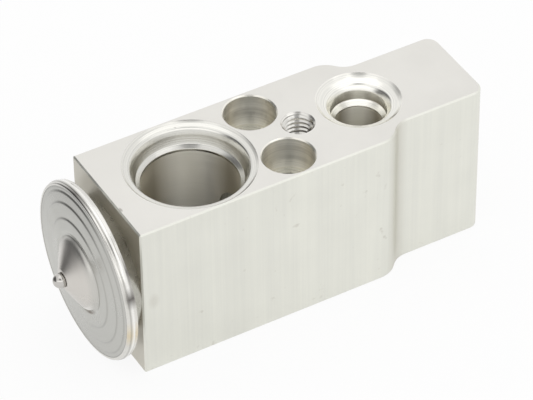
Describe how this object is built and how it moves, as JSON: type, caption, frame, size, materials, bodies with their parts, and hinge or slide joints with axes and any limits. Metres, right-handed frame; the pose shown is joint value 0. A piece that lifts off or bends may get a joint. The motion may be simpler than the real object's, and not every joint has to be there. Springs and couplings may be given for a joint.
{
  "type": "block-type thermostatic expansion valve",
  "caption": "Block-type expansion valve: stepped aluminium block with suction and liquid ports, a domed steel power head at one end, and the rod, ball, spring and adjusting screw inside",
  "frame": {"origin": "midway between the two fixing holes, on the evaporator face that the valve lies on", "axes": "+X along the valve from the power head to the narrow end, +Z along the fixing holes to the pipe face"},
  "size_m": [0.09, 0.0364, 0.0365],
  "materials": {
    "block_aluminium": "extruded and machined, satin",
    "head_steel": "pressed stainless sheet, satin",
    "ball_steel": "hard polished steel",
    "spring_steel": "bright spring steel",
    "rod_aluminium": "turned",
    "brass": "turned",
    "seal_rubber": "dark green refrigerant-proof rubber",
    "washer_plastic": "white"
  },
  "bodies": {
    "valve_body": {"valve_block": "block_aluminium", "head_cap": "head_steel", "charge_ball": "ball_steel", "head_base": "head_steel", "diaphragm": "spring_steel", "head_seal_ring": "seal_rubber", "rod_seal_ring": "seal_rubber", "rod_backup_washer": "washer_plastic", "rod_seal_retainer": "spring_steel", "orifice_ring": "ball_steel", "superheat_spring": "spring_steel"},
    "valve_train": {"diaphragm_stop": "brass", "sensing_rod": "rod_aluminium", "operating_pin": "ball_steel", "valve_ball": "ball_steel", "ball_holder": "brass", "damping_ring": "spring_steel"},
    "screw_seal": {"screw_seal_ring": "seal_rubber"},
    "screw": {"adjusting_screw": "brass"}
  },
  "joints": [
    {"name": "valve_stroke", "type": "slide", "parent": "valve_body", "child": "valve_train", "axis": [1, 0, 0], "range_m": [0, 0.0008], "stiffness_N_per_m": 7700, "springref_m": -0.0001, "deforming": ["superheat_spring", "diaphragm"]},
    {"name": "screw_travel", "type": "slide", "parent": "valve_body", "child": "screw_seal", "axis": [1, 0, 0], "range_m": [-0.0005, 0.0005]},
    {"name": "adjusting_turn", "type": "hinge", "parent": "screw_seal", "child": "screw", "pos_m": [0.0419, 0, 0.0183], "axis": [1, 0, 0], "range_deg": [-184, 184]}
  ],
  "couplings": [
    {"joint": "adjusting_turn", "follows": "screw_travel", "rad_per_m": 6283.2}
  ]
}
